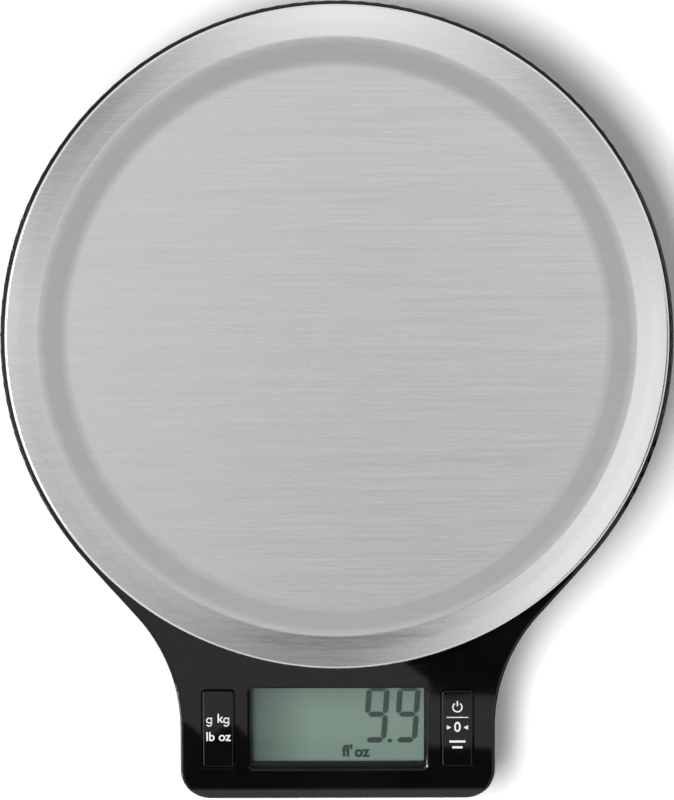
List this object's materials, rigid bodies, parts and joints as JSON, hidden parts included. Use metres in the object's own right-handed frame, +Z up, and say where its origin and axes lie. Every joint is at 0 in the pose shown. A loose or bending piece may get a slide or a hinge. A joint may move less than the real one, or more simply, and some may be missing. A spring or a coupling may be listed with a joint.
{
  "type": "kitchen scale",
  "caption": "Flat digital kitchen scale: round brushed-steel weighing platform over a black two-part body, with a display and touch keys on a sloping head.",
  "frame": {"origin": "centre of the footprint's bounding rectangle, on the surface that the feet stand on", "axes": "+Z up, +X to the right of a person reading the display, +Y away from that person, from the head to the far edge of the platform"},
  "size_m": [0.1842, 0.2189, 0.036],
  "materials": {
    "black_shell": "fine moulded texture",
    "black_gloss": "polished",
    "brushed_steel": "straight brushed grain",
    "screw_steel": "zinc plated",
    "beam_aluminium": "machined",
    "foot_rubber": "matte",
    "carrier_plastic": "moulded",
    "foam_white": "foam tape",
    "lens_clear": "clear acrylic",
    "lcd_glass": "clear",
    "lcd_film": "polarising film",
    "lcd_reflector": "grey-green film",
    "frame_black": "moulded",
    "zebra_rubber": "striped elastomer",
    "board_green": "solder mask",
    "chip_black": "epoxy",
    "crystal_can": "tinned can",
    "capacitor_sleeve": "shrink sleeve",
    "resistor_body": "ceramic",
    "switch_body": "moulded",
    "switch_stem": "moulded",
    "gauge_foil": "etched foil",
    "sealant_white": "silicone",
    "clamp_glue": "cured adhesive",
    "battery_jacket": "printed jacket",
    "contact_metal": "nickel plated",
    "lead_red": "insulation",
    "lead_white": "insulation"
  },
  "bodies": {
    "housing": {"base_shell": "black_shell", "battery_a": "battery_jacket", "battery_b": "battery_jacket", "battery_bridge_contact": "contact_metal", "battery_leads": "lead_red", "battery_negative_contact": "contact_metal", "battery_positive_contact": "contact_metal", "battery_springs": "contact_metal", "board_capacitors": "capacitor_sleeve", "board_resistors": "resistor_body", "board_screws": "screw_steel", "case_screws": "screw_steel", "circuit_board": "board_green", "controller_blob": "chip_black", "converter_chip": "chip_black", "foot_front_left": "foot_rubber", "foot_front_right": "foot_rubber", "foot_rear_left": "foot_rubber", "foot_rear_right": "foot_rubber", "gauge_sealant": "sealant_white", "lcd_frame": "frame_black", "lcd_front_film": "lcd_film", "lcd_front_glass": "lcd_glass", "lcd_rear_glass": "lcd_glass", "lcd_reflector": "lcd_reflector", "load_cell_base_screws": "screw_steel", "load_cell_beam": "beam_aluminium", "load_cell_lead_clamp": "clamp_glue", "load_cell_leads": "lead_white", "load_cell_shim": "beam_aluminium", "overload_stop_screw": "screw_steel", "strain_gauges": "gauge_foil", "tare_switch": "switch_body", "timing_crystal": "crystal_can", "top_cover": "black_gloss", "unit_switch": "switch_body", "window_lens": "lens_clear", "zebra_connectors": "zebra_rubber"},
    "platform": {"platform_plate": "brushed_steel", "platform_carrier": "carrier_plastic", "platform_foam": "foam_white", "load_cell_spacer": "beam_aluminium", "load_cell_platform_screws": "screw_steel"},
    "unit_button": {"unit_key": "black_gloss", "unit_switch_stem": "switch_stem"},
    "tare_button": {"tare_key": "black_gloss", "tare_switch_stem": "switch_stem"},
    "door": {"battery_door": "black_shell", "battery_door_latch": "black_shell"}
  },
  "joints": [
    {"name": "platform_load", "type": "slide", "parent": "housing", "child": "platform", "axis": [0, 0, -1], "range_m": [0, 0.0006], "stiffness_N_per_m": 100000, "deforming": ["load_cell_beam"]},
    {"name": "unit_press", "type": "slide", "parent": "housing", "child": "unit_button", "axis": [0, 0.0958, -0.9954], "range_m": [0, 0.0005], "stiffness_N_per_m": 900},
    {"name": "tare_press", "type": "slide", "parent": "housing", "child": "tare_button", "axis": [0, 0.0958, -0.9954], "range_m": [0, 0.0005], "stiffness_N_per_m": 900},
    {"name": "door_swing", "type": "hinge", "parent": "housing", "child": "door", "pos_m": [0, -0.00647, 0.00285], "axis": [1, 0, 0], "range_deg": [0, 45], "deforming": ["battery_door_latch"]}
  ]
}
